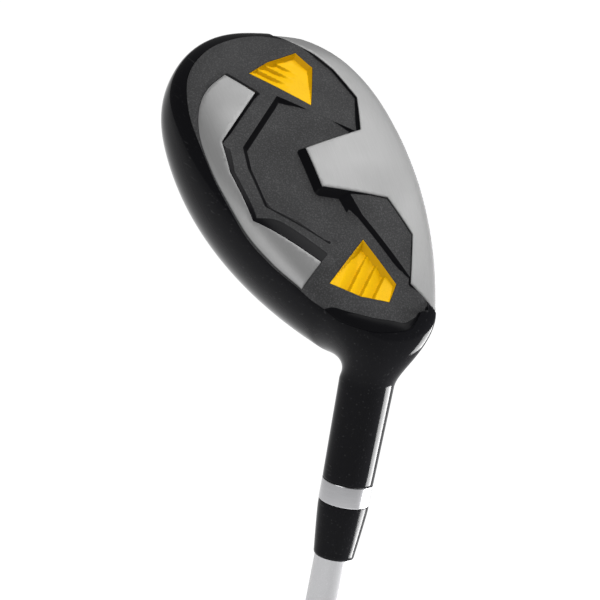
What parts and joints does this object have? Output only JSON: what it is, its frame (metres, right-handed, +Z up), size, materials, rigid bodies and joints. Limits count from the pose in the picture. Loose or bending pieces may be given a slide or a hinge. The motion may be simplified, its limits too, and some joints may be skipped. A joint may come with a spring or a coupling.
{
  "type": "hybrid golf club",
  "caption": "Hybrid golf club: hollow head with a stepped sole, banded ferrule, tapered shaft and rubber grip, standing on its grip end.",
  "frame": {"origin": "centre of the outer end face of the grip, on the shaft's axis", "axes": "+Z up the shaft from the grip to the head; +X across the shaft, towards the toe; -Y the side that the face looks to"},
  "size_m": [0.094, 0.0592, 0.8723],
  "materials": {
    "gloss_black": "gloss lacquer",
    "textured_black": "fine matte texture",
    "brushed_plate": "satin brushed",
    "face_steel": "bead-blasted",
    "yellow_inlay": "satin",
    "weight_metal": "as cast",
    "brass_weight": "as turned",
    "melt_glue": "smooth",
    "satin_band": "satin",
    "ferrule_black": "gloss",
    "shaft_paint": "silver paint under clear coat",
    "grip_tape": "paper tape",
    "grip_rubber": "matte"
  },
  "bodies": {
    "root": {"head_shell": "gloss_black", "face_plate": "face_steel", "sole_plate": "textured_black", "front_sole_plate": "brushed_plate", "rear_sole_plate": "brushed_plate", "toe_inlay": "yellow_inlay", "heel_inlay": "yellow_inlay", "weight_pad": "weight_metal", "melt_bead": "melt_glue", "bore_plug": "ferrule_black", "ferrule_band": "satin_band", "ferrule_sleeve": "ferrule_black", "shaft_tube": "shaft_paint", "tip_weight": "brass_weight", "grip_tape": "grip_tape", "grip_sleeve": "grip_rubber", "grip_cap": "grip_rubber"}
  },
  "joints": []
}
